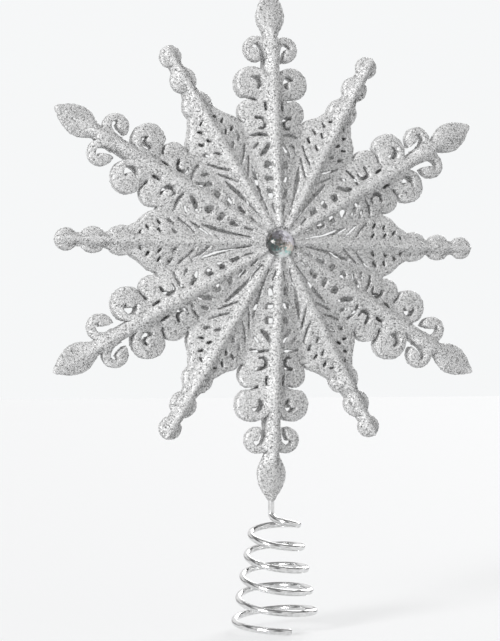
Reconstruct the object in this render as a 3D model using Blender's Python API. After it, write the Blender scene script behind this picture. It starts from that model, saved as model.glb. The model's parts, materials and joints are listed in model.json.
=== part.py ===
"""Snowflake tree topper: two openwork half shells, a stone on each face and a wire coil.

The frame's origin is the centre of the coil's open lower end, which goes over the top shoot
of a tree. +Z is up and the front faces -Y. All sizes are in metres.

An arm is drawn in its own two coordinates: u runs out from the star's centre along the arm,
and v runs sideways from the arm's centre line. Half a long arm fills the wedge from v = 0 to
the valley beside it, and half a short arm fills the wedge from the valley to its own v = 0.
Twelve of each, mirrored and turned, make one half shell.
"""
import math

import bmesh
import bpy
from mathutils import Vector
from mathutils.geometry import delaunay_2d_cdt

# Star: plan
LONG_R = 0.110                     # centre to a long arm's point
SHORT_R = 0.0952                   # centre to the end of a short arm's last bead
CORNER_R = 0.0536                  # centre to the inner corner between two arms
ARMS = 6                           # long arms, and as many short ones between them
LONG_WEDGE = math.radians(15.5)    # from a long arm's centre line to the valley
SHORT_WEDGE = math.radians(30.0) - LONG_WEDGE
RIB_TOP = 0.0010                   # half width of the flat on top of a rib
RIB_FOOT = 0.0026                  # half width of a rib where it meets the face
RIB_TAPER = 0.18                   # a rib's foot narrows to this share of u near the centre

# Star: heights above the seam between the two halves
APEX = 0.0134                      # a rib's top, carried on to the centre
EDGE = 0.0030                      # thickness at the rim of the arms
RIB_STEP = 0.0005                  # drop from a rib's top to the face beside it
FLANGE_TILT = 0.12                 # rise of an arm's flange towards its rib
FADE = 0.0084                      # length over which the body's face becomes the flange
POINT_START = 0.955                # share of an arm's length where its rib runs out to the point
WALL = 0.0022                      # wall of the hollow body
SEAM_GAP = 0.0003                  # play between pieces that touch
CAVITY_IN = 0.0445                 # the hollow's side wall runs between these two radii
CAVITY_OUT = 0.0460
BOSS_IN = 0.0030                   # central boss that the two halves meet on
BOSS_OUT = 0.0034
SEAT_IN = 0.0064                   # recess for the stone
SEAT_OUT = 0.0067
SEAT_FLOOR = 0.0111
SEAT_WALL = 0.0025
NEAR = 1e-6                        # lengths that count as the same
SLIVER = 1e-10                     # plan triangles under this area are rounding along an edge
RINGS = (BOSS_IN, BOSS_OUT, SEAT_IN, SEAT_OUT, CAVITY_IN, CAVITY_OUT)

# Stones
STONE_BACK_R = 0.0055
STONE_R = 0.0060
STONE_SHOULDER_R = 0.0049
STONE_TABLE_R = 0.0031
STONE_GIRDLE = 0.0126              # height of its widest ring
STONE_SHOULDER = 0.0145
STONE_TABLE = 0.0158
STONE_SIDES = 12

# Wire
WIRE_R = 0.00135
PITCH = 0.0090
TURNS = 4.75                       # full turns below the neck
COIL_TOP_R = 0.0097
COIL_BOTTOM_R = 0.0180
SLANT = 0.15                       # each turn dips at the front by this much of its depth
LEVEL_TURNS = 1.5                  # the slant dies away over the last turns
STEM_X = -0.0018                   # the stem stands beside the coil's axis
STEM_DEPTH = 0.030                 # how far the stem runs up inside the bottom arm
TIP_TO_COIL = 0.0100               # from the bottom point down to the coil's first turn
NOD_TURN = 1.0                     # turns down to where the coil bends fore and aft
SWAY_TURN = 2.25                   # turns down to where it bends from side to side
BEND_GAP = 0.0006                  # gap between the wire's stretches where it bends
STEPS_PER_TURN = 16
NECK_RISE = 0.0075                 # the neck leaves the straight stem this far above the first turn
NECK_BEND = Vector((-0.0010, -0.0120, 0.0028))  # the neck leans towards here, above the first turn
NECK_LEAD = 0.0090                 # and comes into the first turn from this far back along it
NECK_STEPS = 12
GROOVE_R = 0.0017
GROOVE_BELOW = 0.0040              # the groove's cutter starts this far below the bottom point

COIL_TOP_Z = WIRE_R + TURNS * PITCH
STAR_Z = COIL_TOP_Z + TIP_TO_COIL + LONG_R
STAR_X = STEM_X


# ---------------------------------------------------------------- outlines

def arc(centre_u, centre_v, radius, start, stop, steps):
    """Points on an arc, its angles in degrees from the u axis towards the v axis."""
    points = []
    for step in range(steps + 1):
        angle = math.radians(start + (stop - start) * step / steps)
        points.append((centre_u + radius * math.cos(angle), centre_v + radius * math.sin(angle)))
    return points


def leaf(neck_u, neck_v, wide_u, wide_v, tip_u, steps):
    """The side of a pointed leaf, from its point back to its neck."""
    points = []
    for step in range(steps):
        share = 1.0 - step / steps
        points.append((wide_u + (tip_u - wide_u) * share, wide_v * (1.0 - share ** 1.7)))
    for step in range(steps + 1):
        share = step / steps
        swell = (wide_v - neck_v) * (1.0 - share ** 1.8)
        points.append((wide_u + (neck_u - wide_u) * share, neck_v + swell))
    return points


def long_outline():
    """From the point of a long arm down its side to the inner corner."""
    points = leaf(0.0908, 0.0033, 0.0980, 0.0062, LONG_R, 3)
    points += arc(0.0839, 0.0065, 0.0056, -35, 206, 7)
    points += arc(0.0688, 0.0095, 0.0074, -48, 163.6, 7)
    points += arc(0.0561, 0.0095, 0.0060, 21, 118, 3)[1:]
    points.append((CORNER_R * math.cos(LONG_WEDGE), CORNER_R * math.sin(LONG_WEDGE)))
    return points


def short_outline():
    """From the end of a short arm down its three beads to the inner corner."""
    points = arc(SHORT_R - 0.0048, 0.0, 0.0048, 0, 140, 4)
    points += arc(0.0792, 0.0, 0.0056, 33.6, 146.4, 3)
    points += arc(0.0666, 0.0, 0.0064, 29, 119, 3)
    points += [(0.0603, 0.0077), (0.0568, 0.0102)]
    points.append((CORNER_R * math.cos(SHORT_WEDGE), CORNER_R * math.sin(SHORT_WEDGE)))
    return points


LONG_HOLES = [
    [(0.0184, 0.0029), (0.0232, 0.0029), (0.0232, 0.0048), (0.0186, 0.0038)],
    [(0.0315, 0.0030), (0.0346, 0.0030), (0.0346, 0.0054), (0.0315, 0.0046)],
    arc(0.0682, 0.0072, 0.0021, 0, 288, 4),
]
SHORT_HOLES = [
    [(0.0145, 0.0027), (0.0220, 0.0030), (0.0275, 0.0038), (0.0325, 0.0064), (0.0262, 0.0060),
     (0.0195, 0.0040)],
]


# ---------------------------------------------------------------- heights

class Wedge:
    """Half an arm: its plan and the heights over it."""

    def __init__(self, reach, wedge, outline, holes):
        self.reach = reach
        self.wedge = wedge
        self.outline = outline
        self.holes = holes
        self.widest = max(v for u, v in outline)
        self.fall_u = (APEX - EDGE) / reach
        valley_fall = (APEX - RIB_STEP - EDGE) / CORNER_R
        self.fall_v = (valley_fall - self.fall_u * math.cos(wedge)) / math.sin(wedge)

    def ring(self, u, v):
        """Distance from the centre, measured so that a chord across the wedge has one value."""
        half = self.wedge / 2.0
        return (u * math.cos(half) + v * math.sin(half)) / math.cos(half)

    def face(self, u, v):
        """The body's sloping face, carried on over the arm's flange."""
        body = APEX - RIB_STEP - self.fall_u * u - self.fall_v * v
        flange = EDGE + FLANGE_TILT * max(self.widest - v, 0.0)
        fade = min(max((self.ring(u, v) - CORNER_R) / FADE, 0.0), 1.0)
        return body * (1.0 - fade) + flange * fade

    def rib_foot(self, u):
        return min(RIB_FOOT, RIB_TAPER * u)

    def rib_top(self, u):
        return min(RIB_TOP, RIB_TAPER * u / 2.0)

    def top(self, u, v):
        if self.ring(u, v) < SEAT_IN + NEAR:
            return SEAT_FLOOR
        if self.reach - u < NEAR:
            return EDGE
        ridge = APEX - self.fall_u * u
        foot = self.rib_foot(u)
        if v >= foot - NEAR:
            return max(self.face(u, v), EDGE)
        side = (foot - max(v, self.rib_top(u))) / (foot - self.rib_top(u))
        return max(self.face(u, foot) * (1.0 - side) + ridge * side, EDGE)

    def bottom(self, u, v):
        ring = self.ring(u, v)
        if ring < BOSS_IN + NEAR or ring > CAVITY_OUT - NEAR:
            return SEAM_GAP / 2.0
        return min(self.face(u, v) - WALL, SEAT_FLOOR - SEAT_WALL)

    def creases(self):
        """Lines that the surface bends along, as runs of points."""
        corner = self.outline[-1]
        rib_bends = [SEAT_OUT, RIB_FOOT / RIB_TAPER, CORNER_R, CORNER_R + FADE, self.reach * POINT_START]
        runs = []
        for half_width in (self.rib_top, self.rib_foot):
            runs.append([(u, half_width(u)) for u in rib_bends] + [(self.reach, 0.0)])
        runs.append([(CORNER_R, RIB_FOOT), corner])
        runs += [[(ring, 0.0), self.on_valley(ring)] for ring in RINGS]
        return runs

    def on_valley(self, ring):
        return (ring * math.cos(self.wedge), ring * math.sin(self.wedge))

    def loop(self):
        """The wedge's whole edge: centre, outline, and back down the valley."""
        return [(0.0, 0.0)] + self.outline + [self.on_valley(ring) for ring in reversed(RINGS)]


LONG = Wedge(LONG_R, LONG_WEDGE, long_outline(), LONG_HOLES)
SHORT = Wedge(SHORT_R, SHORT_WEDGE, short_outline(), SHORT_HOLES)


# ---------------------------------------------------------------- half shells

def inside(point, polygon):
    """True when the point lies in the polygon, by counting crossings."""
    crossings = False
    for (u0, v0), (u1, v1) in zip(polygon, polygon[1:] + polygon[:1]):
        if (v0 > point[1]) != (v1 > point[1]):
            if point[0] < u0 + (point[1] - v0) * (u1 - u0) / (v1 - v0):
                crossings = not crossings
    return crossings


def triangulate(wedge):
    """The wedge's plan as points and triangles, cut along its outline, holes and creases."""
    loop = wedge.loop()
    points = []
    edges = []
    for run, closed in [(loop, True)] + [(hole, True) for hole in wedge.holes] + [
            (crease, False) for crease in wedge.creases()]:
        first = len(points)
        points += run
        edges += [(first + i, first + i + 1) for i in range(len(run) - 1)]
        if closed:
            edges.append((first + len(run) - 1, first))
    scaled = [Vector((u * 1000.0, v * 1000.0)) for u, v in points]
    found, _, triangles, _, _, _ = delaunay_2d_cdt(scaled, edges, [], 0, 1e-4)
    flat = [(point.x / 1000.0, point.y / 1000.0) for point in found]
    kept = []
    for triangle in triangles:
        a, b, c = (flat[i] for i in triangle)
        middle = ((a[0] + b[0] + c[0]) / 3.0, (a[1] + b[1] + c[1]) / 3.0)
        area = abs((b[0] - a[0]) * (c[1] - a[1]) - (b[1] - a[1]) * (c[0] - a[0])) / 2.0
        on_plan = inside(middle, loop) and not any(inside(middle, hole) for hole in wedge.holes)
        if on_plan and area > SLIVER:
            kept.append(tuple(triangle))
    return flat, kept


def add_wedge(bm, wedge, plan, angle, side):
    """One wedge of the shell: top, underside and the walls round its rim and holes."""
    points, triangles = plan
    used = sorted({i for triangle in triangles for i in triangle})
    rows = []
    for height in (wedge.top, wedge.bottom):
        row = {}
        for i in used:
            u, v = points[i]
            x = u * math.cos(angle) - side * v * math.sin(angle)
            z = u * math.sin(angle) + side * v * math.cos(angle)
            row[i] = bm.verts.new((STAR_X + x, -height(u, v), STAR_Z + z))
        rows.append(row)
    count = {}
    for triangle in triangles:
        for row in rows:
            bm.faces.new([row[i] for i in triangle])
        for a, b in zip(triangle, triangle[1:] + triangle[:1]):
            count[frozenset((a, b))] = count.get(frozenset((a, b)), 0) + 1
    slope = math.tan(wedge.wedge)
    for edge, uses in count.items():
        a, b = tuple(edge)
        on_centre_line = max(points[a][1], points[b][1]) < NEAR
        on_valley = all(abs(points[i][1] - points[i][0] * slope) < NEAR for i in edge)
        if uses == 1 and not on_centre_line and not on_valley:
            bm.faces.new((rows[0][a], rows[0][b], rows[1][b], rows[1][a]))


def half_shell(name, facing):
    """A whole half shell, facing -1 to the front or +1 to the rear."""
    bm = bmesh.new()
    plans = {LONG: triangulate(LONG), SHORT: triangulate(SHORT)}
    for arm in range(ARMS):
        turn = 2.0 * math.pi * arm / ARMS
        for side in (-1, 1):
            add_wedge(bm, LONG, plans[LONG], turn + math.pi / 2.0, side)
            add_wedge(bm, SHORT, plans[SHORT], turn, side)
    bmesh.ops.remove_doubles(bm, verts=bm.verts, dist=2e-6)
    if facing > 0:
        bmesh.ops.scale(bm, vec=(1.0, -1.0, 1.0), verts=bm.verts)
    bmesh.ops.recalc_face_normals(bm, faces=bm.faces)
    return finish(bm, name)


def finish(bm, name):
    mesh = bpy.data.meshes.new(name)
    bm.to_mesh(mesh)
    bm.free()
    obj = bpy.data.objects.new(name, mesh)
    bpy.context.scene.collection.objects.link(obj)
    return obj


def stem_groove():
    """Cutter for the groove that holds the stem inside the bottom arm."""
    bm = bmesh.new()
    length = STEM_DEPTH + 2 * SEAM_GAP + GROOVE_BELOW
    bmesh.ops.create_cone(bm, cap_ends=True, segments=12, radius1=GROOVE_R, radius2=GROOVE_R,
                          depth=length)
    cutter = finish(bm, "stem_groove_cutter")
    cutter.location = (STAR_X, 0.0, STAR_Z - LONG_R - GROOVE_BELOW + length / 2.0)
    cutter.hide_render = True
    cutter.display_type = "WIRE"
    return cutter


def cut(obj, cutter):
    modifier = obj.modifiers.new("groove", "BOOLEAN")
    modifier.operation = "DIFFERENCE"
    modifier.object = cutter


# ---------------------------------------------------------------- stones

def stone(name, facing):
    """A flat-backed faceted stone that sits in its recess."""
    rings = [
        (STONE_BACK_R, SEAT_FLOOR + SEAM_GAP, 0.0),
        (STONE_R, STONE_GIRDLE, 0.5),
        (STONE_SHOULDER_R, STONE_SHOULDER, 0.0),
        (STONE_TABLE_R, STONE_TABLE, 0.5),
    ]
    bm = bmesh.new()
    loops = []
    for radius, height, shift in rings:
        loop = []
        for side in range(STONE_SIDES):
            angle = 2.0 * math.pi * (side + shift) / STONE_SIDES
            x = STAR_X + radius * math.cos(angle)
            z = STAR_Z + radius * math.sin(angle)
            loop.append(bm.verts.new((x, facing * height, z)))
        loops.append(loop)
    bm.faces.new(loops[0])
    bm.faces.new(loops[-1])
    for number, (low, high) in enumerate(zip(loops, loops[1:])):
        skew = number % 2
        for side in range(STONE_SIDES):
            after = (side + 1) % STONE_SIDES
            if skew:
                bm.faces.new((low[side], low[after], high[after]))
                bm.faces.new((low[side], high[after], high[side]))
            else:
                bm.faces.new((low[side], low[after], high[side]))
                bm.faces.new((low[after], high[after], high[side]))
    bmesh.ops.recalc_face_normals(bm, faces=bm.faces)
    return finish(bm, name)


# ---------------------------------------------------------------- wire

def coil_point(turn):
    """The wire's centre, turns counted down from the right-hand end of the first turn."""
    angle = 2.0 * math.pi * turn
    radius = COIL_TOP_R + (COIL_BOTTOM_R - COIL_TOP_R) * turn / TURNS
    x = radius * math.cos(angle)
    y = radius * math.sin(angle)
    slant = SLANT * min(1.0, (TURNS - turn) / LEVEL_TURNS)
    return Vector((x, y, COIL_TOP_Z - PITCH * turn + slant * y))


def coil_run(start, stop):
    steps = max(2, round(abs(stop - start) * STEPS_PER_TURN))
    return [coil_point(start + (stop - start) * step / steps) for step in range(steps + 1)]


def neck_run():
    """From the stem, forwards and round into the coil's first turn."""
    above = Vector((0.0, 0.0, COIL_TOP_Z))
    top = above + Vector((STEM_X, 0.0, NECK_RISE))
    end = coil_point(0.0)
    heading = (coil_point(0.01) - end).normalized()
    controls = [top, top - Vector((0.0, 0.0, NECK_RISE * 0.8)), above + NECK_BEND,
                end - heading * NECK_LEAD, end]
    points = []
    for step in range(NECK_STEPS + 1):
        share = step / NECK_STEPS
        ladder = list(controls)
        while len(ladder) > 1:
            ladder = [a.lerp(b, share) for a, b in zip(ladder, ladder[1:])]
        points.append(ladder[0])
    return points


def wire(name, points):
    """A round wire along the points, with flat ends."""
    curve = bpy.data.curves.new(name, "CURVE")
    curve.dimensions = "3D"
    curve.bevel_depth = WIRE_R
    curve.bevel_resolution = 2
    curve.use_fill_caps = True
    spline = curve.splines.new("POLY")
    spline.points.add(len(points) - 1)
    for point, place in zip(spline.points, points):
        point.co = (*place, 1.0)
    obj = bpy.data.objects.new(name, curve)
    bpy.context.scene.collection.objects.link(obj)
    return obj


def gap_turns(turn):
    """Half the bend gap at a place on the coil, as a share of a turn."""
    per_turn = (coil_point(turn + 0.01) - coil_point(turn)).length / 0.01
    return BEND_GAP / 2.0 / per_turn


# ---------------------------------------------------------------- materials

def material(name, colour, metallic, roughness, clear=0.0):
    mat = bpy.data.materials.new(name)
    mat.use_nodes = True
    shader = mat.node_tree.nodes["Principled BSDF"]
    shader.inputs["Base Color"].default_value = (*colour, 1.0)
    shader.inputs["Metallic"].default_value = metallic
    shader.inputs["Roughness"].default_value = roughness
    shader.inputs["Transmission Weight"].default_value = clear
    mat.diffuse_color = (*colour, 1.0)
    return mat


def hinge(name, turn, carrier, pieces):
    """An empty where the coil bends, which the pieces beyond the bend are parented to."""
    empty = bpy.data.objects.new(name, None)
    bpy.context.scene.collection.objects.link(empty)
    empty.location = coil_point(turn)
    if carrier:
        empty.parent = carrier
        empty.location -= carrier.location
    for piece in pieces:
        piece.parent = empty
        piece.location -= coil_point(turn)
    return empty


def build():
    for obj in list(bpy.data.objects):
        bpy.data.objects.remove(obj)

    front = half_shell("front_snowflake", -1)
    rear = half_shell("rear_snowflake", 1)
    groove = stem_groove()
    cut(front, groove)
    cut(rear, groove)
    front.data.materials.append(material("front_glitter", (0.60, 0.61, 0.64), 0.8, 0.35))
    rear.data.materials.append(material("rear_glitter", (0.56, 0.57, 0.60), 0.8, 0.35))

    front_stone = stone("front_stone", -1)
    rear_stone = stone("rear_stone", 1)
    front_stone.data.materials.append(material("front_clear", (0.90, 0.94, 0.97), 0.0, 0.05, 1.0))
    rear_stone.data.materials.append(material("rear_clear", (0.85, 0.90, 0.95), 0.0, 0.05, 1.0))

    nod_gap = gap_turns(NOD_TURN)
    sway_gap = gap_turns(SWAY_TURN)
    stem_top = Vector((STEM_X, 0.0, STAR_Z - LONG_R + STEM_DEPTH))
    upper = [stem_top] + neck_run() + coil_run(0.0, NOD_TURN - nod_gap)[1:]
    middle = coil_run(NOD_TURN + nod_gap, SWAY_TURN - sway_gap)
    lower = coil_run(SWAY_TURN + sway_gap, TURNS)
    stretches = []
    for name, points, grey in [("wire_stem", upper, 0.80), ("coil_middle", middle, 0.70),
                               ("coil_grip", lower, 0.75)]:
        stretch = wire(name, points)
        stretch.data.materials.append(material(name + "_steel", (grey, grey, grey), 1.0, 0.15))
        stretches.append(stretch)
    stem, coil_middle, _ = stretches

    sway = hinge("side_sway_hinge", SWAY_TURN, None, [coil_middle])
    hinge("nod_hinge", NOD_TURN, sway, [front, rear, groove, front_stone, rear_stone, stem])


build()
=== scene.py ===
"""Looks of the snowflake tree topper: glittered openwork halves, faceted stones and a plated wire.

The star is drawn as in the CAD, in an arm's own coordinates: u runs out from the centre along
the arm and v runs sideways from its centre line, both in millimetres. A wedge is half an arm,
from its centre line to the valley between it and the next arm. Two wedges, one of a long arm
and one of a short arm, are mirrored and turned to fill a half of the star. The rear half is the
front one mirrored.
"""
import json
import math

import bmesh
import bpy
import numpy as np
from mathutils import Matrix, Vector, noise
from mathutils.geometry import delaunay_2d_cdt


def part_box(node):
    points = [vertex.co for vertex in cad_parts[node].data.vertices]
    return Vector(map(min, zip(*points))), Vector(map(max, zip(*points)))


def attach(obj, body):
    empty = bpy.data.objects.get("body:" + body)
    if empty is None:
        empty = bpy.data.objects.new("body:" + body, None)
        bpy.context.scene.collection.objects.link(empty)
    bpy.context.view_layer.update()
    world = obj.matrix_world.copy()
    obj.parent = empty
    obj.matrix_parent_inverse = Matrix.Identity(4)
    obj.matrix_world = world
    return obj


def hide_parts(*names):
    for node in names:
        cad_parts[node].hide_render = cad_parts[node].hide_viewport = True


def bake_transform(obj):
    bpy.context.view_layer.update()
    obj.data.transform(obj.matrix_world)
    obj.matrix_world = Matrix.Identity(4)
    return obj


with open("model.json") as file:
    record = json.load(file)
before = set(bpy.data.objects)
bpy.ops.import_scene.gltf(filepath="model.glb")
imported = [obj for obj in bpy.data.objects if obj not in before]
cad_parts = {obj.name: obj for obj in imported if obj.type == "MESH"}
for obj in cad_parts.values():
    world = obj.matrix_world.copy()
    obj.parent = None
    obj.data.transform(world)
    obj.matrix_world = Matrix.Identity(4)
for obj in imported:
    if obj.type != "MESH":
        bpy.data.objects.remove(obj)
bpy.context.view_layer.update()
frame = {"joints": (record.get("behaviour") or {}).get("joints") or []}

MM = 0.001
STAR_LOW, STAR_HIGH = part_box("front_snowflake")
STAR = Vector(((STAR_LOW.x + STAR_HIGH.x) / 2, 0.0, (STAR_LOW.z + STAR_HIGH.z) / 2))

# Star: plan, in millimetres
LONG_R = (STAR_HIGH.z - STAR_LOW.z) / 2 / MM
SHORT_R = LONG_R * 0.8655
CORNER_R = LONG_R * 0.4873              # where two arms part, at the end of the valley
LONG_WEDGE = math.radians(15.5)
SHORT_WEDGE = math.radians(30.0) - LONG_WEDGE
ARMS = 6                                # of each length
ARM_HALF = 2.7                          # half width of an arm where it is narrowest
ARM_START = 50.0                        # the arms' shapes start inside the body, at this u
LEAF_START = 89.0
LEAF_MIDDLE = 98.5

# Star: heights above the seam, in millimetres
APEX = 13.4                             # a rib's top, carried on to the centre
RIB_STEP = 0.5                          # drop from a rib's top to the facet beside it
LONG_TIP = 2.3                          # a rib's height at its point
SHORT_TIP = 3.2
LEAF_DROP = 0.9                         # a long rib steps down by this before its leaf
RIM = 3.0                               # thickness of the rim where two arms meet
RIM_TIP = 1.6                           # and at the arms' ends
LEAST_TOP = 0.9
FLANGE_TILT = 0.17                      # an arm's flange rises towards its rib by this slope
FADE = 8.4                              # the body's facets turn into flanges over this length
WALL = 1.2
SEAM = 0.15                             # each half stops this far from the plane between them
SEAT_R = 6.4                            # the stone's seat is flat out to here
SEAT_RIM_R = 6.7
SEAT_FLOOR = 11.1
SEAT_WALL = 2.0
HOLLOW_WALL = (CORNER_R - 4.5, CORNER_R - 3.5)   # the hollow's side wall runs between these radii

# Star: surface, in millimetres
ROUND = 0.7                             # radius of the moulding's edges
CROWN = 1.0                             # half width of the round top of a rib
CROWN_SHARE = 0.35                      # and its share of a narrow rib
CROWN_DROP = 0.25                       # fall from a rib's crest to the edge of its round top
BULGE = 0.8                             # below 1, a rib's sides bulge
RIB_TAPER = 0.19                        # near the centre a rib's half width is this share of u
LEAST_FOOT = 0.05
SLIT_SHARE = 0.8                        # how much of each slit the glitter leaves open
RAGGED = 0.30                           # how far the glitter makes the outlines wander
RAGGED_PER_MM = 0.95
GRAIN = 0.14                            # how far the glitter stands out of the surface
GRAIN_PER_MM = 2.3
noise.seed_set(11)                      # without this the noise differs from run to run

# Meshing, in millimetres
EDGE_STEP = 0.6                         # spacing of points along an edge
GRID = 0.8                              # spacing of points over the top
UNDER_GRID = 3.0                        # spacing of points under it
UNDER_STEP = 1.2                        # and along the foot and the head of the hollow's side wall
UNDER_GAP = 0.5
HOLLOW_RINGS = [CORNER_R - 5.0, CORNER_R - 3.0]
EDGE_RINGS = (0.22, 0.6)                # rows of points beside an edge, at these distances
CREASE_GAP = 0.15
ON_LINE = 1e-4


# ---------------------------------------------------------------- plan shapes

def arc(centre_u, centre_v, radius, start, stop):
    """Points on an arc, its angles in degrees from the u axis towards the v axis."""
    steps = max(3, math.ceil(abs(math.radians(stop - start)) * radius / EDGE_STEP))
    points = []
    for step in range(steps + 1):
        angle = math.radians(start + (stop - start) * step / steps)
        points.append((centre_u + radius * math.cos(angle), centre_v + radius * math.sin(angle)))
    return points


def disc(centre_u, centre_v, radius):
    """Points on a whole circle."""
    return arc(centre_u, centre_v, radius, 0, 360)[:-1]


def spline(points, step=EDGE_STEP):
    """A smooth line through the points, with points about a step apart."""
    line = []
    last = len(points) - 1
    for i in range(last):
        before, start, end, after = (points[min(max(i + k, 0), last)] for k in (-1, 0, 1, 2))
        steps = max(1, round(math.dist(start, end) / step))
        for s in range(steps):
            t = s / steps
            place = []
            for b, p, q, a in zip(before, start, end, after):
                place.append(p + t * (q - b) / 2 + t * t * (b - 2.5 * p + 2 * q - a / 2)
                             + t ** 3 * ((a - b) / 2 + 1.5 * (p - q)))
            line.append(tuple(place))
    line.append(tuple(points[-1]))
    return line


def round_end(place, before):
    """Three points round the end of a slit, from its last two places (u, v, width)."""
    heading = math.atan2(place[1] - before[1], place[0] - before[0])
    points = []
    for turn in (-30, 0, 30):
        angle = heading + math.radians(turn)
        points.append((place[0] + math.cos(angle) * place[2] * SLIT_SHARE / 2,
                       place[1] + math.sin(angle) * place[2] * SLIT_SHARE / 2))
    return points


def slit(*points):
    """A curved slot with round ends, from points (u, v, width) along it."""
    line = spline(points, EDGE_STEP * 0.8)
    left = []
    right = []
    for i, (u, v, width) in enumerate(line):
        before = line[max(i - 1, 0)]
        after = line[min(i + 1, len(line) - 1)]
        du, dv = after[0] - before[0], after[1] - before[1]
        size = math.hypot(du, dv) * 2 / SLIT_SHARE
        left.append((u - dv * width / size, v + du * width / size))
        right.append((u + dv * width / size, v - du * width / size))
    return right + round_end(line[-1], line[-2]) + left[::-1] + round_end(line[0], line[1])


def rounded(radius, *corners):
    """A polygon with its corners rounded."""
    points = []
    count = len(corners)
    for i in range(count):
        here = np.array(corners[i])
        to_last = np.array(corners[i - 1]) - here
        to_next = np.array(corners[(i + 1) % count]) - here
        cut = min(radius, np.linalg.norm(to_last) * 0.45, np.linalg.norm(to_next) * 0.45)
        start = here + to_last / np.linalg.norm(to_last) * cut
        end = here + to_next / np.linalg.norm(to_next) * cut
        for t in (0.0, 0.33, 0.67, 1.0):
            point = start * (1 - t) ** 2 + here * 2 * t * (1 - t) + end * t * t
            points.append(tuple(point))
    return points


def mirrored_below(points):
    """A shape that straddles the centre line, from its half above the line."""
    return points + [(u, -v) for u, v in reversed(points) if v > 1e-6]


# ---------------------------------------------------------------- the pattern

def corner(wedge_angle):
    """The end of the valley, as a wedge of this angle sees it."""
    return (CORNER_R * math.cos(wedge_angle), CORNER_R * math.sin(wedge_angle))


def sector(wedge_angle):
    """The body's part of a wedge, out to the straight edge between arm and corner."""
    end = corner(wedge_angle)
    return [(0.0, 0.0), (end[0], 0.0), end]


# Circles (u, v, radius) that the arms' outlines follow
SCROLLS = [(83.9, 6.5, 5.6), (68.8, 9.1, 7.2), (56.1, 9.2, 5.8)]
LEAF_SWELL = (LEAF_MIDDLE, 0.0, 6.3)
BEADS = [(SHORT_R - 4.8, 0.0, 4.8), (79.2, 0.0, 5.6), (66.6, 0.0, 6.4)]

LEAF = [(LONG_R, 0.0), (LONG_R - 0.5, 0.9), (107.4, 2.6), (104.0, 4.8), (99.8, 6.2), (96.4, 6.1),
        (93.6, 5.0), (91.6, 3.9), (89.6, 3.1), (87.0, ARM_HALF)]
LONG_SOLIDS = [
    sector(LONG_WEDGE),
    mirrored_below(spline(LEAF)),
    [(ARM_START, 0.0), (90.0, 0.0), (90.0, ARM_HALF), (ARM_START, ARM_HALF)],
    *[disc(*scroll) for scroll in SCROLLS],
    [(ARM_START, 0.0), (66.0, 0.0), (66.0, 6.0), (58.0, 9.0), (54.0, 12.0), (ARM_START, 13.0)],
]
LONG_CUTS = [
    slit((12.6, 1.75, 0.7), (16.0, 2.6, 1.0)),
    rounded(0.8, (18.6, 2.3), (22.6, 2.4), (22.8, 4.8), (18.8, 3.9)),
    rounded(0.7, (25.7, 2.0), (28.0, 2.1), (28.3, 5.7), (26.0, 5.0)),
    rounded(0.9, (31.4, 2.1), (34.2, 2.2), (34.9, 4.9), (31.9, 5.6)),
    slit((41.9, 3.3, 1.9), (39.5, 4.6, 2.4), (37.4, 6.4, 1.7)),
    slit((42.3, 7.7, 1.4), (40.5, 9.3, 1.5)),
    slit((45.9, 3.8, 1.3), (46.3, 7.2, 1.5), (45.5, 10.8, 1.1)),
    slit((49.0, 7.0, 1.1), (49.0, 5.2, 1.4), (50.4, 4.3, 2.1), (52.4, 4.4, 2.4), (53.5, 5.8, 2.0),
         (53.7, 8.0, 1.9)),
    slit((57.2, 3.6, 1.7), (60.2, 3.6, 1.4)),
    slit((61.2, 7.0, 1.3), (62.0, 9.6, 1.2), (62.3, 12.4, 0.9), (63.0, 15.6, 1.2)),
    slit((67.0, 6.6, 2.0), (68.6, 5.8, 3.2), (70.4, 6.6, 3.4), (71.0, 8.2, 2.2), (70.4, 9.6, 1.0)),
    slit((76.6, 4.4, 2.0), (80.2, 4.4, 3.0), (83.0, 4.9, 3.4), (85.1, 6.5, 2.9), (84.7, 8.1, 1.9)),
]

SHORT_SOLIDS = [
    sector(SHORT_WEDGE),
    *[disc(*bead) for bead in BEADS],
    [(ARM_START, 0.0), (94.0, 0.0), (94.0, ARM_HALF), (74.0, 3.2), (63.4, 6.0)]
    + spline([(61.9, 6.9), (59.6, 8.2), (57.2, 10.3), (55.0, 12.2), corner(SHORT_WEDGE)]),
]
SHORT_CUTS = [
    slit((33.2, 6.9, 0.8), (30.0, 5.9, 1.7), (26.0, 4.7, 2.1), (21.0, 3.4, 1.2), (16.0, 2.5, 0.7),
         (12.4, 1.8, 0.5)),
    slit((37.6, 7.9, 0.9), (34.2, 5.4, 1.1), (30.8, 2.6, 0.7)),
    slit((43.0, 9.4, 1.0), (39.6, 6.4, 1.1), (37.0, 3.4, 0.8)),
    slit((47.2, 8.9, 1.7), (46.0, 7.6, 1.3)),
    slit((46.0, 4.7, 1.1), (44.8, 3.4, 1.6)),
    slit((51.9, 8.6, 1.2), (51.2, 7.2, 1.6)),
    slit((52.0, 4.7, 1.6), (50.9, 3.7, 1.2)),
    slit((56.9, 6.2, 1.2), (56.0, 5.0, 1.7)),
    slit((59.8, 2.9, 1.3), (59.2, 4.0, 1.1)),
]


# ---------------------------------------------------------------- heights

def contains(polygon, points):
    """Which points lie in the polygon, by counting crossings."""
    result = np.zeros(len(points), bool)
    corners = np.array(polygon)
    for (u0, v0), (u1, v1) in zip(corners, np.roll(corners, -1, 0)):
        if v0 == v1:
            continue
        crosses = (v0 > points[:, 1]) != (v1 > points[:, 1])
        result ^= crosses & (points[:, 0] < u0 + (points[:, 1] - v0) * (u1 - u0) / (v1 - v0))
    return result


def blend_in(x, start, stop):
    """0 before start, 1 past stop, smooth between."""
    t = np.clip((x - start) / (stop - start), 0.0, 1.0)
    return t * t * (3 - 2 * t)


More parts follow.
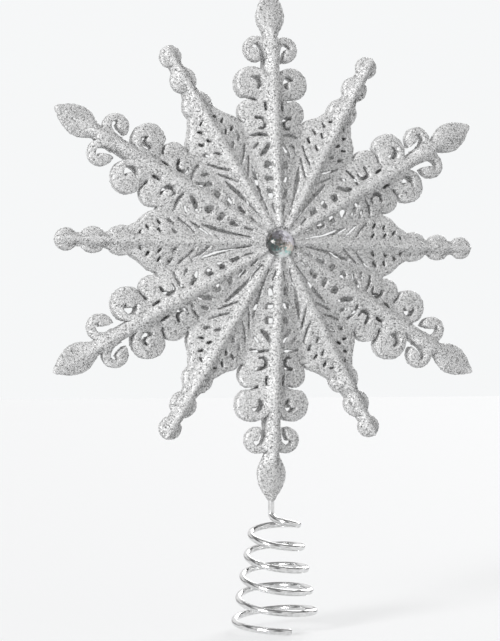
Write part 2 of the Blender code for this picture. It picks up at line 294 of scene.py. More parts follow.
class Wedge:
    """Half an arm: its plan and the heights over it, all in millimetres."""

    def __init__(self, reach, angle, solids, cuts, tip, end_drop, foot, half_width):
        self.reach = reach
        self.angle = angle
        self.solids = solids
        self.cuts = cuts
        self.tip = tip
        self.end_drop = end_drop
        self.foot = foot
        self.half_width = half_width
        self.width = max(v for shape in solids for u, v in shape) + 1
        self.fall_u = (APEX - RIM) / reach
        valley_fall = (APEX - RIB_STEP - RIM) / CORNER_R
        self.fall_v = (valley_fall - self.fall_u * math.cos(angle)) / math.sin(angle)

    def holds(self, points):
        """Which points lie on the plan, in a solid and in no cut."""
        inside = np.any([contains(solid, points) for solid in self.solids], axis=0)
        return inside & ~np.any([contains(cut, points) for cut in self.cuts], axis=0)

    def trim(self, flat, triangles):
        """The triangles that lie on the plan and between the seams."""
        middle = flat[triangles].mean(1)
        between = (middle[:, 1] > 0) & (middle[:, 1] < middle[:, 0] * math.tan(self.angle))
        return triangles[between & self.holds(middle)]

    def on_valley(self, points):
        """Which points lie on the seam in the valley."""
        return np.abs(points[:, 1] - points[:, 0] * math.tan(self.angle)) < ON_LINE

    def off_seams(self, points, edges):
        """The edges that don't run along a seam, where the next wedge joins on."""
        on_centre = np.abs(points[:, 1]) < ON_LINE
        on_valley = self.on_valley(points)
        return edges[~(on_centre[edges].all(1) | on_valley[edges].all(1))]

    def ring(self, u, v):
        """How far out a place is, on twelve-sided rings through the arms and the valleys."""
        half = self.angle / 2
        return (u * math.cos(half) + v * math.sin(half)) / math.cos(half)

    def crown(self, u):
        """Half width of the rib's round top."""
        return np.minimum(self.foot(u) * CROWN_SHARE, CROWN)

    def ridge(self, u):
        """Height of the rib's crest."""
        end_drop = self.end_drop * blend_in(u, self.reach * 0.79, self.reach * 0.87)
        point_drop = (RIM - self.tip) * blend_in(u, self.reach * 0.8, self.reach)
        return APEX - self.fall_u * u - end_drop - point_drop

    def face(self, u, v):
        """The facet beside the rib: the body's slope, which becomes the arm's flange."""
        body = APEX - RIB_STEP - self.fall_u * u - self.fall_v * v
        rim = RIM + (RIM_TIP - RIM) * blend_in(u, CORNER_R * 1.25, self.reach * 0.92)
        flange = rim + FLANGE_TILT * np.maximum(self.half_width(u) - v, 0.0)
        fade = np.clip((self.ring(u, v) - CORNER_R) / FADE, 0.0, 1.0)
        return body * (1 - fade) + flange * fade

    def top(self, u, v, depth):
        """Height of the outer surface, where depth is how far the nearest edge is."""
        foot = self.foot(u)
        crown = self.crown(u)
        up_side = np.clip((foot - np.maximum(v, crown)) / np.maximum(foot - crown, 1e-3), 0.0, 1.0)
        low = self.face(u, np.maximum(v, foot))
        height = low + (np.maximum(self.ridge(u), low) - low) * up_side ** BULGE
        height = height - CROWN_DROP * (np.minimum(v, crown) / crown) ** 2 * (v < foot)
        short = np.clip(1 - depth / ROUND, 0.0, 1.0)
        height = height - ROUND * (1 - np.sqrt(np.clip(1 - short ** 2, 0.0, 1.0)))
        seat = blend_in(self.ring(u, v), SEAT_R, SEAT_RIM_R)
        return np.maximum(height, LEAST_TOP) * seat + SEAT_FLOOR * (1 - seat)

    def bottom(self, u, v):
        """Height of the inner surface: a hollow body, and arms that are solid to the seam."""
        hollow = 1 - blend_in(self.ring(u, v), *HOLLOW_WALL)
        inner = np.minimum(self.face(u, v) - WALL, SEAT_FLOOR - SEAT_WALL)
        return SEAM + (np.maximum(inner, SEAM) - SEAM) * hollow


def widest(circles, u):
    """The furthest that any of the circles reaches sideways at u, or 0 where none does."""
    reaches = []
    for centre_u, centre_v, radius in circles:
        squared = np.clip(radius * radius - (u - centre_u) ** 2, 0, None)
        reaches.append(np.where(squared > 0, centre_v + np.sqrt(squared), 0.0))
    return np.max(reaches, axis=0)


def long_half_width(u):
    """Half width of a long arm, over its scrolls and its leaf."""
    return np.maximum(widest([LEAF_SWELL] + SCROLLS, u), ARM_HALF)


def short_half_width(u):
    """Half width of a short arm, over its beads and the corner's slant."""
    slant = 6.2 + (64 - u)
    return np.maximum(widest(BEADS, u), np.maximum(ARM_HALF, slant))


def body_rib(u, limit, start, growth):
    """Half width of a rib on the body, which broadens slowly outwards."""
    return np.minimum(np.minimum(limit, start + growth * u), RIB_TAPER * u + LEAST_FOOT)


def long_foot(u):
    """Half width of a long arm's rib: broader on the arm, and a swell over the leaf."""
    rib = body_rib(u, 3.3, 1.30, 0.045) + 1.1 * blend_in(u, 46.0, 62.0)
    swell = 5.6 * np.clip(1 - ((u - LEAF_MIDDLE) / 11.4) ** 2, 0.0, 1.0) ** 0.8
    leaf = np.maximum(swell, 2.3 * blend_in(LONG_R - u, 0.0, 6.0))
    return np.maximum(np.where(u > LEAF_START, leaf, rib), LEAST_FOOT)


def short_foot(u):
    """Half width of a short arm's rib, which becomes the domes of its beads."""
    domes = np.maximum(0.62 * np.minimum(short_half_width(u), 6.4), 1.9)
    outer = blend_in(u, 56.0, 64.0)
    end = np.sqrt(np.clip((SHORT_R - u) / 2.5, 0.0, 1.0))
    return np.maximum((body_rib(u, 2.9, 1.25, 0.040) * (1 - outer) + domes * outer) * end, LEAST_FOOT)


LONG = Wedge(LONG_R, LONG_WEDGE, LONG_SOLIDS, LONG_CUTS, LONG_TIP, LEAF_DROP, long_foot, long_half_width)
SHORT = Wedge(SHORT_R, SHORT_WEDGE, SHORT_SOLIDS, SHORT_CUTS, SHORT_TIP, 0.0, short_foot, short_half_width)


# ---------------------------------------------------------------- meshing a wedge

def distance_to(points, starts, ends):
    """Each point's distance to the nearest of the segments."""
    block_size = 2000
    along = ends - starts
    length = np.maximum((along ** 2).sum(1), 1e-12)
    nearest = np.empty(len(points))
    for first in range(0, len(points), block_size):
        block = points[first:first + block_size, None, :] - starts[None]
        t = np.clip((block * along).sum(2) / length, 0, 1)
        gap = block - t[..., None] * along
        nearest[first:first + block_size] = np.sqrt((gap ** 2).sum(2).min(1))
    return nearest


def triangulate(points, edges):
    """Delaunay triangles over points, cut along the edges, and where each point went."""
    corners = [Vector(point) for point in points]
    found, _, triangles, sources, _, _ = delaunay_2d_cdt(corners, edges, [], 0, 1e-5)
    flat = np.array([(place.x, place.y) for place in found])
    triangles = np.array([tuple(triangle) for triangle in triangles])
    one = flat[triangles[:, 1]] - flat[triangles[:, 0]]
    two = flat[triangles[:, 2]] - flat[triangles[:, 0]]
    sliver = 2e-5
    triangles = triangles[np.abs(one[:, 0] * two[:, 1] - one[:, 1] * two[:, 0]) > sliver]
    went_to = {old: new for new, olds in enumerate(sources) for old in olds}
    return flat, triangles, went_to


def chain(lines, loops=()):
    """The points of all the closed loops and open lines, and the edges along them."""
    points = []
    edges = []
    for line, closed in [(loop, True) for loop in loops] + [(line, False) for line in lines]:
        first = len(points)
        points += [tuple(point) for point in line]
        edges += [(first + i, first + i + 1) for i in range(len(line) - 1)]
        if closed:
            edges.append((first + len(line) - 1, first))
    return points, edges


def rim_of(triangles):
    """The edges that only one triangle has, each running with its triangle's turn."""
    sides = np.concatenate([triangles[:, [0, 1]], triangles[:, [1, 2]], triangles[:, [2, 0]]])
    _, index, count = np.unique(np.sort(sides, 1), axis=0, return_index=True, return_counts=True)
    return sides[index[count == 1]]


def spoke(angle, stops, step):
    """Points out along a line from the centre, with one at each of the stops."""
    radii = [0.0]
    for low, high in zip([0.0] + stops, stops):
        steps = max(1, round((high - low) / step))
        radii += [low + (high - low) * (k + 1) / steps for k in range(steps)]
    return [(r * math.cos(angle), r * math.sin(angle)) for r in radii]


def chord(wedge, radius, step):
    """Points straight across the wedge, from its centre line to the valley."""
    end_u, end_v = radius * math.cos(wedge.angle), radius * math.sin(wedge.angle)
    steps = max(1, round(math.dist((radius, 0.0), (end_u, end_v)) / step))
    return [(radius + (end_u - radius) * k / steps, end_v * k / steps) for k in range(steps + 1)]


def lattice(wedge, step):
    """A triangular grid of points over a wedge and beyond."""
    rise = step * math.sqrt(3) / 2
    columns = range(int(wedge.reach / step) + 2)
    rows = range(1, int(wedge.width / rise) + 1)
    return np.array([(i * step + (step / 2 if j % 2 else 0.0), j * rise) for j in rows for i in columns])


def clear_of(outline, wedge, points, gap):
    """The points on the wedge that keep the gap to its edges, and nearly that to its seams."""
    points = np.array(points)
    to_valley = points[:, 0] * math.sin(wedge.angle) - points[:, 1] * math.cos(wedge.angle)
    off_seams = np.minimum(points[:, 1], to_valley) > gap * 0.8
    points = points[wedge.holds(points) & off_seams]
    return points[distance_to(points, *outline) > gap]


def top_points(wedge, outline):
    """Points over the top: rows beside the edges, rows along the rib's creases, and a grid."""
    starts, ends = outline
    along = ends - starts
    across = np.stack([-along[:, 1], along[:, 0]], 1) / np.linalg.norm(along, axis=1)[:, None]
    middle = (starts + ends) / 2
    rows = [clear_of(outline, wedge, middle + across * gap * side, gap * 0.93)
            for gap in EDGE_RINGS for side in (-1, 1)]
    out = np.arange(SEAT_RIM_R + GRID, wedge.reach - 1.0, GRID)
    creases = [clear_of(outline, wedge, np.stack([out, crease], 1), CREASE_GAP)
               for crease in (wedge.foot(out), wedge.crown(out))]
    crease_points = np.concatenate(creases)
    grid = clear_of(outline, wedge, lattice(wedge, GRID), EDGE_RINGS[-1] + 0.2)
    grid = grid[distance_to(grid, crease_points, crease_points) > GRID * 0.45]
    return [tuple(point) for block in rows + creases + [grid] for point in block]


def mesh_top(wedge, outline):
    """The wedge's top in small triangles."""
    stops = [SEAT_R, SEAT_RIM_R]
    lines = [[start, end] for start, end in zip(*outline)]
    lines += [spoke(wedge.angle, stops + [CORNER_R], GRID), spoke(0.0, stops + [wedge.reach], GRID)]
    lines += [chord(wedge, radius, GRID) for radius in stops]
    points, edges = chain(lines)
    flat, triangles, _ = triangulate(points + top_points(wedge, outline), edges)
    return flat, wedge.trim(flat, triangles)


def mesh_underside(wedge, outline, top, rim):
    """The wedge's underside in large triangles, and which of its points is below each rim point."""
    rim_points = [int(point) for point in np.unique(rim)]
    place = {old: new for new, old in enumerate(rim_points)}
    shift = len(rim_points)
    seams, seam_edges = chain([spoke(wedge.angle, HOLLOW_RINGS + [CORNER_R], UNDER_GRID),
                               spoke(0.0, HOLLOW_RINGS + [wedge.reach], UNDER_GRID)])
    edges = [(place[int(a)], place[int(b)]) for a, b in rim]
    edges += [(a + shift, b + shift) for a, b in seam_edges]
    rings = [point for radius in HOLLOW_RINGS for point in chord(wedge, radius, UNDER_STEP)]
    inner = clear_of(outline, wedge, np.concatenate([lattice(wedge, UNDER_GRID), rings]), UNDER_GAP)
    points = [tuple(top[i]) for i in rim_points] + seams + [tuple(point) for point in inner]
    flat, triangles, went_to = triangulate(points, edges)
    return flat, wedge.trim(flat, triangles), {old: went_to[new] for old, new in place.items()}


def mesh_wedge(wedge):
    """A wedge's plan points, their heights, and the faces over them, open only at the seams."""
    far = wedge.reach + 5
    sides = [[(0.0, 0.0), (far * math.cos(angle), far * math.sin(angle))] for angle in (0.0, wedge.angle)]
    flat, triangles, _ = triangulate(*chain(sides, wedge.solids + wedge.cuts))
    rim = wedge.off_seams(flat, rim_of(wedge.trim(flat, triangles)))
    outline = (flat[rim[:, 0]], flat[rim[:, 1]])

    top, top_triangles = mesh_top(wedge, outline)
    rim = wedge.off_seams(top, rim_of(top_triangles))
    bottom, bottom_triangles, below = mesh_underside(wedge, outline, top, rim)

    # Along the valley the depth is the distance to the corner, so that both wedges agree there.
    depth = distance_to(top, top[rim[:, 0]], top[rim[:, 1]])
    valley = wedge.on_valley(top)
    depth[valley] = CORNER_R - np.hypot(top[valley, 0], top[valley, 1])
    heights = [wedge.top(top[:, 0], top[:, 1], depth), wedge.bottom(bottom[:, 0], bottom[:, 1])]

    shift = len(top)
    faces = [tuple(triangle) for triangle in top_triangles]
    faces += [tuple(triangle + shift) for triangle in bottom_triangles]
    faces += [(int(a), int(b), below[int(b)] + shift, below[int(a)] + shift) for a, b in rim]
    return np.concatenate([top, bottom]), np.concatenate(heights), faces


# ---------------------------------------------------------------- pieces from meshes

def new_piece(name, bm, sharp=None):
    """An object from a bmesh, smooth but for edges sharper than the angle in degrees, if one is given."""
    mesh = bpy.data.meshes.new(name)
    bm.to_mesh(mesh)
    bm.free()
    if sharp is not None:
        mesh.shade_smooth()
        mesh.set_sharp_from_angle(angle=math.radians(sharp))
    obj = bpy.data.objects.new(name, mesh)
    bpy.context.scene.collection.objects.link(obj)
    return obj


# ---------------------------------------------------------------- halves of the star

def copies(wedge, start, facing):
    """A wedge mirrored and turned round the star: its vertices and faces."""
    plan, height, wedge_faces = mesh_wedge(wedge)
    vertices = []
    faces = []
    for arm in range(ARMS):
        angle = start + 2 * math.pi * arm / ARMS
        for side in (-1, 1):
            shift = len(vertices) * len(plan)
            x = plan[:, 0] * math.cos(angle) - side * plan[:, 1] * math.sin(angle)
            z = plan[:, 0] * math.sin(angle) + side * plan[:, 1] * math.cos(angle)
            vertices.append(np.stack([x, facing * height, z], 1))
            faces += [tuple(i + shift for i in face) for face in wedge_faces]
    return np.concatenate(vertices), faces


def half(name, facing):
    """One half of the star, facing -1 to the front or +1 to the rear."""
    long_vertices, long_faces = copies(LONG, math.pi / 2, facing)
    short_vertices, short_faces = copies(SHORT, 0.0, facing)
    shift = len(long_vertices)
    faces = long_faces + [tuple(i + shift for i in face) for face in short_faces]
    draft = bpy.data.meshes.new("draft")
    draft.from_pydata(np.concatenate([long_vertices, short_vertices]) * MM + np.array(STAR), [], faces)
    bm = bmesh.new()
    bm.from_mesh(draft)
    bpy.data.meshes.remove(draft)

    unused = [vertex for vertex in bm.verts if not vertex.link_faces]
    bmesh.ops.delete(bm, geom=unused, context="VERTS")
    bmesh.ops.remove_doubles(bm, verts=bm.verts, dist=0.02 * MM)
    bmesh.ops.recalc_face_normals(bm, faces=bm.faces)
    bmesh.ops.triangulate(bm, faces=[face for face in bm.faces if len(face.verts) > 3])
    for vertex in bm.verts:
        ragged = noise.noise_vector(vertex.co / MM * RAGGED_PER_MM)
        vertex.co += Vector((ragged.x, 0.0, ragged.z)) * RAGGED * MM
        if abs(vertex.co.y) > 4 * SEAM * MM:
            vertex.co += noise.noise_vector(vertex.co / MM * GRAIN_PER_MM) * GRAIN * MM
    return new_piece(name, bm, sharp=55)


# ---------------------------------------------------------------- stones

STONE_R = 5.92
STONE_BACK_R = 5.42
STONE_TABLE_R = 0.7
STONE_BACK = SEAT_FLOOR + 0.3
STONE_GIRDLE = 12.6                     # height of its widest ring above the seam
STONE_EDGE = 0.2                        # thickness of its edge below that
STONE_TABLE = 15.8
STONE_SIDES = 16
STONE_ROWS = 6                          # rows of facets between the girdle and the table
STONE_SAG = 0.9                         # the glue let the stone slip down this far


def stone(name, facing):
    """A round stone cut in rows of small facets that step round by half a facet from row to row."""
    rings = [(STONE_BACK_R, STONE_BACK), (STONE_R, STONE_GIRDLE - STONE_EDGE)]
    for row in range(STONE_ROWS + 1):
        share = row / STONE_ROWS
        radius = STONE_R + (STONE_TABLE_R - STONE_R) * share ** 1.15
        rise = (STONE_TABLE - STONE_GIRDLE) * math.sin(share * math.pi / 2)
        rings.append((radius, STONE_GIRDLE + rise))
    bm = bmesh.new()
    loops = []
    for number, (radius, height) in enumerate(rings):
        loop = []
        for side in range(STONE_SIDES):
            angle = 2 * math.pi * (side + number % 2 / 2) / STONE_SIDES
            place = Vector((radius * math.cos(angle), facing * height, radius * math.sin(angle) - STONE_SAG))
            loop.append(bm.verts.new(STAR + place * MM))
        loops.append(loop)
    bm.faces.new(loops[0])
    bm.faces.new(loops[-1])
    for number, (low, high) in enumerate(zip(loops, loops[1:])):
        for side in range(STONE_SIDES):
            after = (side + 1) % STONE_SIDES
            over = high[side] if number % 2 == 0 else high[after]
            under = low[after] if number % 2 == 0 else low[side]
            bm.faces.new((low[side], low[after], over))
            bm.faces.new((under, high[after], high[side]))
    bmesh.ops.recalc_face_normals(bm, faces=bm.faces)
    return new_piece(name, bm)


# ---------------------------------------------------------------- wire

WIRE_R = 1.35
WIRE_SIDES = 20
CUT_END = [(0.75, 0.0), (0.93, 0.12)]   # rings at a cut end: share of the radius, and how far in
TURNS = 4.75
TURN_STEPS = 72                         # points in each turn
LEVEL_TURNS = 1.5                       # the slant of the turns dies away over the last ones
NOD_TURN, SWAY_TURN = 1.0, 2.25         # turns down to the joints, which lie on the wire
nod, sway = (next(Vector(joint["pos_m"]) / MM for joint in frame["joints"] if joint["name"] == name)
             for name in ("nod", "side_sway"))
PITCH = (nod.z - WIRE_R) / (TURNS - NOD_TURN)
WIDENING = (sway.y - nod.x) / (SWAY_TURN - NOD_TURN)
COIL_TOP_R = nod.x - WIDENING * NOD_TURN
COIL_TOP_Z = WIRE_R + TURNS * PITCH
SLANT = (sway.z - COIL_TOP_Z + PITCH * SWAY_TURN) / sway.y
STEM_DEPTH = 28.0
STEM_STEPS = 12
NECK_RISE = 5.5                         # the neck leaves the straight stem this far above the first turn
NECK_BEND = Vector((-1.0, -12.0, 2.8))  # it leans towards here
NECK_LEAD = 9.0                         # and comes into the first turn from this far back along it
MEETING_TURN = 1.6                      # where the upper and the lower run of the wire meet
OVERLAP = 0.004


def coil_point(turn):
    """The wire's centre, in millimetres, turns counted down from the right-hand end of the first."""
    angle = 2 * math.pi * turn
    radius = COIL_TOP_R + WIDENING * turn
    slant = SLANT * min(1.0, (TURNS - turn) / LEVEL_TURNS)
    y = radius * math.sin(angle)
    return Vector((radius * math.cos(angle), y, COIL_TOP_Z - PITCH * turn + slant * y))


def coil_run(start, stop):
    """The wire's centre from one turn to another."""
    steps = round((stop - start) * TURN_STEPS)
    return [coil_point(start + (stop - start) * k / steps) for k in range(steps + 1)]


def stem_run():
    """Down the straight stem and round the neck into the first turn."""
    above = Vector((0.0, 0.0, COIL_TOP_Z))
    stem_x = STAR.x / MM
    top = Vector((stem_x, 0.0, STAR.z / MM - LONG_R + STEM_DEPTH))
    neck = above + Vector((stem_x, 0.0, NECK_RISE))
    end = coil_point(0.0)
    heading = (coil_point(0.01) - end).normalized()
    controls = [neck, neck - Vector((0.0, 0.0, NECK_RISE * 0.8)), above + NECK_BEND,
                end - heading * NECK_LEAD, end]
    points = [top.lerp(neck, k / STEM_STEPS) for k in range(STEM_STEPS)]
    for step in range(TURN_STEPS):
        ladder = list(controls)
        while len(ladder) > 1:
            ladder = [a.lerp(b, step / TURN_STEPS) for a, b in zip(ladder, ladder[1:])]
        points.append(ladder[0])
    return points


def tube(name, points):
    """A round wire along the points, its cut ends slightly rounded."""
    last = len(points) - 1
    stations = [(0, share, inset) for share, inset in CUT_END]
    stations += [(i, 1.0, 0.0) for i in range(1, last)]
    stations += [(last, share, -inset) for share, inset in reversed(CUT_END)]
    bm = bmesh.new()
    side = Vector((1.0, 0.0, 0.0))
    rings = []
    for i, share, inset in stations:
        heading = (points[min(i + 1, last)] - points[max(i - 1, 0)]).normalized()
        side = (side - heading * side.dot(heading)).normalized()
        other = heading.cross(side)
        ring = []
        for k in range(WIRE_SIDES):
            angle = 2 * math.pi * k / WIRE_SIDES
            out = side * math.cos(angle) + other * math.sin(angle)
            ring.append(bm.verts.new((points[i] + heading * inset + out * WIRE_R * share) * MM))
        rings.append(ring)
    bm.faces.new(rings[0])
    bm.faces.new(rings[-1])
    for low, high in zip(rings, rings[1:]):
        for k in range(WIRE_SIDES):
            after = (k + 1) % WIRE_SIDES
            bm.faces.new((low[k], low[after], high[after], high[k]))
    bmesh.ops.recalc_face_normals(bm, faces=bm.faces)
    return new_piece(name, bm, sharp=50)


# ---------------------------------------------------------------- nodes

def shader(name, values):
    """A material with a Principled shader, its even values set on the shader's own sockets."""
    material = bpy.data.materials.new(name)
    material.use_nodes = True
    principled = material.node_tree.nodes["Principled BSDF"]
    for socket, value in values.items():
        principled.inputs[socket].default_value = value
    return material, material.node_tree, principled


def node(tree, kind, sources=(), **settings):
    """A node with its settings made and its sockets linked to other nodes or given values."""
    made = tree.nodes.new(kind)
    for key, value in settings.items():
        setattr(made, key, value)
    for socket, source in sources:
        if hasattr(source, "is_output"):
            tree.links.new(source, made.inputs[socket])
        else:
            made.inputs[socket].default_value = source
    return made


def vector_math(tree, operation, *sources):
    """The result of a vector operation on one or two vectors."""
    made = node(tree, "ShaderNodeVectorMath", enumerate(sources), operation=operation)
    return made.outputs["Value" if operation == "DOT_PRODUCT" else "Vector"]


def add(tree, one, other):
    """The sum of two numbers."""
    return node(tree, "ShaderNodeMath", [(0, one), (1, other)], operation="ADD").outputs["Value"]


def remap(tree, value, to, start=(0.0, 1.0)):
    """A number carried over from one range to another."""
    limits = zip(("From Min", "From Max", "To Min", "To Max"), (*start, *to))
    return node(tree, "ShaderNodeMapRange", [("Value", value), *limits]).outputs["Result"]


def ramp(tree, factor, stops):
    """A colour ramp through (position, colour) stops, where a single number is a grey."""
    made = node(tree, "ShaderNodeValToRGB", [("Fac", factor)])
    elements = made.color_ramp.elements
    while len(elements) < len(stops):
        elements.new(0.5)
    for element, (position, colour) in zip(elements, stops):
        element.position = position
        element.color = (*colour, 1.0) if isinstance(colour, tuple) else (colour, colour, colour, 1.0)
    return made.outputs["Color"]


def multiply(tree, one, other):
    """One colour times another."""
    mix = node(tree, "ShaderNodeMix", data_type="RGBA", blend_type="MULTIPLY")
    mix.inputs["Factor"].default_value = 1.0
    colours = [socket for socket in mix.inputs if socket.type == "RGBA"]
    tree.links.new(one, colours[0])
    tree.links.new(other, colours[1])
    return next(socket for socket in mix.outputs if socket.type == "RGBA")


# ---------------------------------------------------------------- materials

COARSE_FLAKE = 0.55                     # sizes of the glitter's mirrors, in millimetres
FINE_FLAKE = 0.3
COARSE_TONES = [(0.0, 0.16), (0.14, 0.33), (0.35, 0.56), (0.7, 0.70), (0.9, 0.86), (1.0, 0.92)]
FINE_TONES = [(0.0, 0.55), (0.25, 0.84), (0.6, 1.0), (1.0, 1.2)]


def glitter(name, seed):
    """Silver glitter: two sizes of small mirrors with their own tones, the coarse ones tilted too."""
    material, tree, principled = shader(name, {
        "Metallic": 0.18,
        "Roughness": 0.52,
        "Subsurface Weight": 0.8,
        "Subsurface Scale": 5 * MM,
        "Subsurface Radius": (1.0, 1.0, 1.0),
    })
    place = node(tree, "ShaderNodeTexCoord").outputs["Object"]
    moved = vector_math(tree, "ADD", place, (seed, seed * 0.7, seed * 1.3))
    coarse, fine = (node(tree, "ShaderNodeTexVoronoi", [("Vector", moved), ("Scale", 1 / (size * MM))])
                    .outputs["Color"] for size in (COARSE_FLAKE, FINE_FLAKE))
    red = node(tree, "ShaderNodeSeparateColor", [("Color", coarse)]).outputs["Red"]
    green = node(tree, "ShaderNodeSeparateColor", [("Color", fine)]).outputs["Green"]
    tone = multiply(tree, ramp(tree, red, COARSE_TONES), ramp(tree, green, FINE_TONES))
    tree.links.new(tone, principled.inputs["Base Color"])
    tilt = vector_math(tree, "SUBTRACT", coarse, (0.5, 0.5, 0.5))
    normal = node(tree, "ShaderNodeNewGeometry").outputs["Normal"]
    tilted = vector_math(tree, "NORMALIZE", vector_math(tree, "ADD", normal, tilt))
    tree.links.new(tilted, principled.inputs["Normal"])
    return material


def plated(name):
    """Bright plated steel whose colour is lighter and darker in small patches of noise, a painted reflection
    of dark things around it; the same noise varies its roughness.
    """
    material, tree, principled = shader(name, {"Metallic": 1.0})
    place = node(tree, "ShaderNodeTexCoord").outputs["Object"]
    noise_inputs = [("Vector", place), ("Scale", 900.0), ("Detail", 4.0)]
    painted_reflection_noise = node(tree, "ShaderNodeTexNoise", noise_inputs).outputs["Fac"]
    # Painted reflection: the noise darkens and lightens the steel's colour in patches
    tree.links.new(ramp(tree, painted_reflection_noise, [(0.3, 0.62), (0.7, 0.86)]), principled.inputs["Base Color"])
    tree.links.new(remap(tree, painted_reflection_noise, to=(0.06, 0.22)), principled.inputs["Roughness"])
    return material


# Painted shade and painted highlight on the stone's facets, from dark to bright
PAINTED_FACET_SHADE = [(0.0, 0.07), (0.25, 0.14), (0.5, 0.36), (0.8, 0.95)]
# Painted reflection on the stone's facets: tints from white through teal, peach and white to lilac
PAINTED_FACET_REFLECTIONS = [(0.0, (0.97, 1.0, 1.0)), (0.18, (0.95, 1.0, 0.99)), (0.30, (0.42, 0.70, 0.67)),
               (0.44, (1.0, 0.86, 0.77)), (0.58, (0.96, 0.93, 0.91)), (0.8, (0.88, 0.85, 0.96)),
               (1.0, (0.95, 0.94, 1.0))]


def crystal(name):
    """Clear faceted stone over a silvered back, its colour from facet to facet painted light: painted shade
    and painted highlight make facets turned towards -x dark and those turned towards +x, or up or down,
    bright, with a random share per facet, and painted reflection tints them from white and teal on
    low-facing facets through peach to lilac on high-facing ones.
    """
    material, tree, principled = shader(name, {
        "Metallic": 0.35,
        "Roughness": 0.24,
        "Specular IOR Level": 0.2,
    })
    facet = node(tree, "ShaderNodeNewGeometry").outputs["True Normal"]
    steps = vector_math(tree, "SNAP", facet, (0.04, 0.04, 0.04))
    chance = node(tree, "ShaderNodeTexWhiteNoise", [("Vector", steps)]).outputs["Value"]
    spread = remap(tree, chance, to=(0.15, 0.55))
    # Painted shade and painted highlight: facets turned towards +x, and up or down, are painted lighter,
    # those towards -x darker, with a random share
    painted_light_side = vector_math(tree, "DOT_PRODUCT", facet, (0.8, 0.0, -0.1))
    painted_light_up_down = vector_math(tree, "DOT_PRODUCT", vector_math(tree, "ABSOLUTE", facet), (0.0, 0.0, 0.5))
    tone = ramp(tree, add(tree, add(tree, painted_light_side, painted_light_up_down), spread), PAINTED_FACET_SHADE)
    # Painted reflection: the tint follows how high each facet faces
    height = vector_math(tree, "DOT_PRODUCT", facet, (0.4, 0.0, 1.0))
    level = remap(tree, height, start=(-0.7, 0.7), to=(-0.3, 0.6))
    tint = ramp(tree, add(tree, level, spread), PAINTED_FACET_REFLECTIONS)
    tree.links.new(multiply(tree, tone, tint), principled.inputs["Base Color"])
    return material


# ---------------------------------------------------------------- the object

def dress(obj, material, slot, *nodes):
    """A piece of the star with its material and the CAD nodes that it replaces."""
    obj.data.materials.append(material)
    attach(obj, "star")
    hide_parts(*nodes)


dress(half("front_half", -1), glitter("front_glitter_flakes", 0.0), "front_glitter", "front_snowflake")
dress(half("rear_half", 1), glitter("rear_glitter_flakes", 0.37), "rear_glitter", "rear_snowflake")
dress(stone("front_crystal", -1), crystal("front_crystal_glass"), "front_stone", "front_stone")
dress(stone("rear_crystal", 1), crystal("rear_crystal_glass"), "rear_stone", "rear_stone")

chrome = plated("plated_wire")
upper = tube("upper_wire", stem_run() + coil_run(0.0, MEETING_TURN))
lower = tube("lower_wire", coil_run(MEETING_TURN - OVERLAP, TURNS))
for run, nodes in ((upper, ["wire_stem"]), (lower, ["coil_middle", "coil_grip"])):
    run.data.materials.append(chrome)
    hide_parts(*nodes)
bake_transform(upper)
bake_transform(lower)


# ---------------------------------------------------------------- studio

CAMERA_TURN = math.radians(-21.1)
CAMERA_RISE = math.radians(-4.0)
CAMERA_ROLL = math.radians(-0.19)
CAMERA_DISTANCE = 0.85
LENS = 111.3
LENS_SHIFT = (-0.0317, -0.1198)
WHITE = (1.0, 1.0, 1.0, 1.0)
FLOOR_COLOUR = (0.58, 0.585, 0.59, 1.0)
FLOOR_HALF = 12.0
FLOOR_LIFT = 0.31                       # brings the floor up to the backdrop, and lights nothing
BACKDROP = (0.97, 0.98, 0.985, 1.0)
BACKDROP_STRENGTH = 0.95
EVEN_STRENGTH = 0.50                    # light from all round
MIRRORED_TONES = [(0.36, 0.05), (0.46, 0.35), (0.54, 0.85), (0.7, 1.0)]
# Name, the side that the light comes from, its spread in degrees, and its strength
LIGHTS = [("key", (-1.16, -0.78, 0.38), 22, 3.3), ("back", (1.0, 1.1, 0.65), 30, 1.4)]


def turned_to(name, data, direction, roll=0.0):
    """A camera or lamp whose back faces the direction."""
    obj = bpy.data.objects.new(name, data)
    turn = direction.to_track_quat("Z", "Y") @ Matrix.Rotation(roll, 3, "Z").to_quaternion()
    obj.rotation_mode = "QUATERNION"
    obj.rotation_quaternion = turn
    bpy.context.scene.collection.objects.link(obj)
    return obj


def camera():
    """The camera, at the photograph's angle."""
    lens = bpy.data.cameras.new("camera")
    lens.lens = LENS
    lens.shift_x, lens.shift_y = LENS_SHIFT
    level = math.cos(CAMERA_RISE)
    back = Vector((math.sin(CAMERA_TURN) * level, -math.cos(CAMERA_TURN) * level, math.sin(CAMERA_RISE)))
    made = turned_to("camera", lens, back, CAMERA_ROLL)
    made.location = STAR + back * CAMERA_DISTANCE
    bpy.context.scene.camera = made


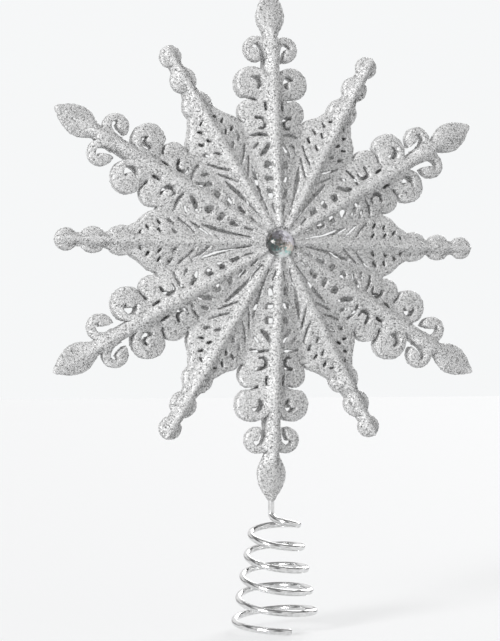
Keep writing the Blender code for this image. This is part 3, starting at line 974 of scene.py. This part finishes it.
def floor():
    """A plain pale floor."""
    material, tree, principled = shader("pale_floor", {
        "Roughness": 0.9,
        "Base Color": FLOOR_COLOUR,
        "Emission Color": WHITE,
    })
    bounced = node(tree, "ShaderNodeLightPath").outputs["Is Diffuse Ray"]
    tree.links.new(remap(tree, bounced, to=(FLOOR_LIFT, 0.0)), principled.inputs["Emission Strength"])
    material.cycles.emission_sampling = "NONE"
    mesh = bpy.data.meshes.new("floor")
    corners = [(x * FLOOR_HALF, y * FLOOR_HALF, 0) for x, y in ((-1, -1), (1, -1), (1, 1), (-1, 1))]
    mesh.from_pydata(corners, [], [(0, 1, 2, 3)])
    mesh.materials.append(material)
    obj = bpy.data.objects.new("floor", mesh)
    bpy.context.scene.collection.objects.link(obj)


def sky():
    """A pale studio: white behind the object, softer on it, with a few dark gaps in what it mirrors."""
    world = bpy.data.worlds.new("world")
    world.use_nodes = True
    tree = world.node_tree
    tree.nodes.clear()
    output = node(tree, "ShaderNodeOutputWorld")
    path = node(tree, "ShaderNodeLightPath")

    def background(colour, strength):
        return node(tree, "ShaderNodeBackground", [("Color", colour), ("Strength", strength)]).outputs[0]

    def choose(ray, others, chosen):
        sources = [(0, path.outputs[ray]), (1, others), (2, chosen)]
        return node(tree, "ShaderNodeMixShader", sources).outputs[0]

    around = node(tree, "ShaderNodeTexCoord").outputs["Generated"]
    noise_inputs = [("Vector", around), ("Scale", 1.7), ("Detail", 1.0)]
    gaps = node(tree, "ShaderNodeTexNoise", noise_inputs).outputs["Fac"]
    mirrored = background(ramp(tree, gaps, MIRRORED_TONES), 1.0)
    lighting = choose("Is Glossy Ray", background(WHITE, EVEN_STRENGTH), mirrored)
    shown = choose("Is Camera Ray", lighting, background(BACKDROP, BACKDROP_STRENGTH))
    tree.links.new(shown, output.inputs["Surface"])
    world.cycles.sampling_method = "NONE"
    bpy.context.scene.world = world


def lights():
    """A key light from the left and a weaker one behind, both broad and soft."""
    for name, side, spread, strength in LIGHTS:
        light = bpy.data.lights.new(name, "SUN")
        light.angle = math.radians(spread)
        light.energy = strength
        turned_to(name, light, Vector(side))


bpy.context.scene.view_settings.view_transform = "Standard"
camera()
floor()
sky()
lights()
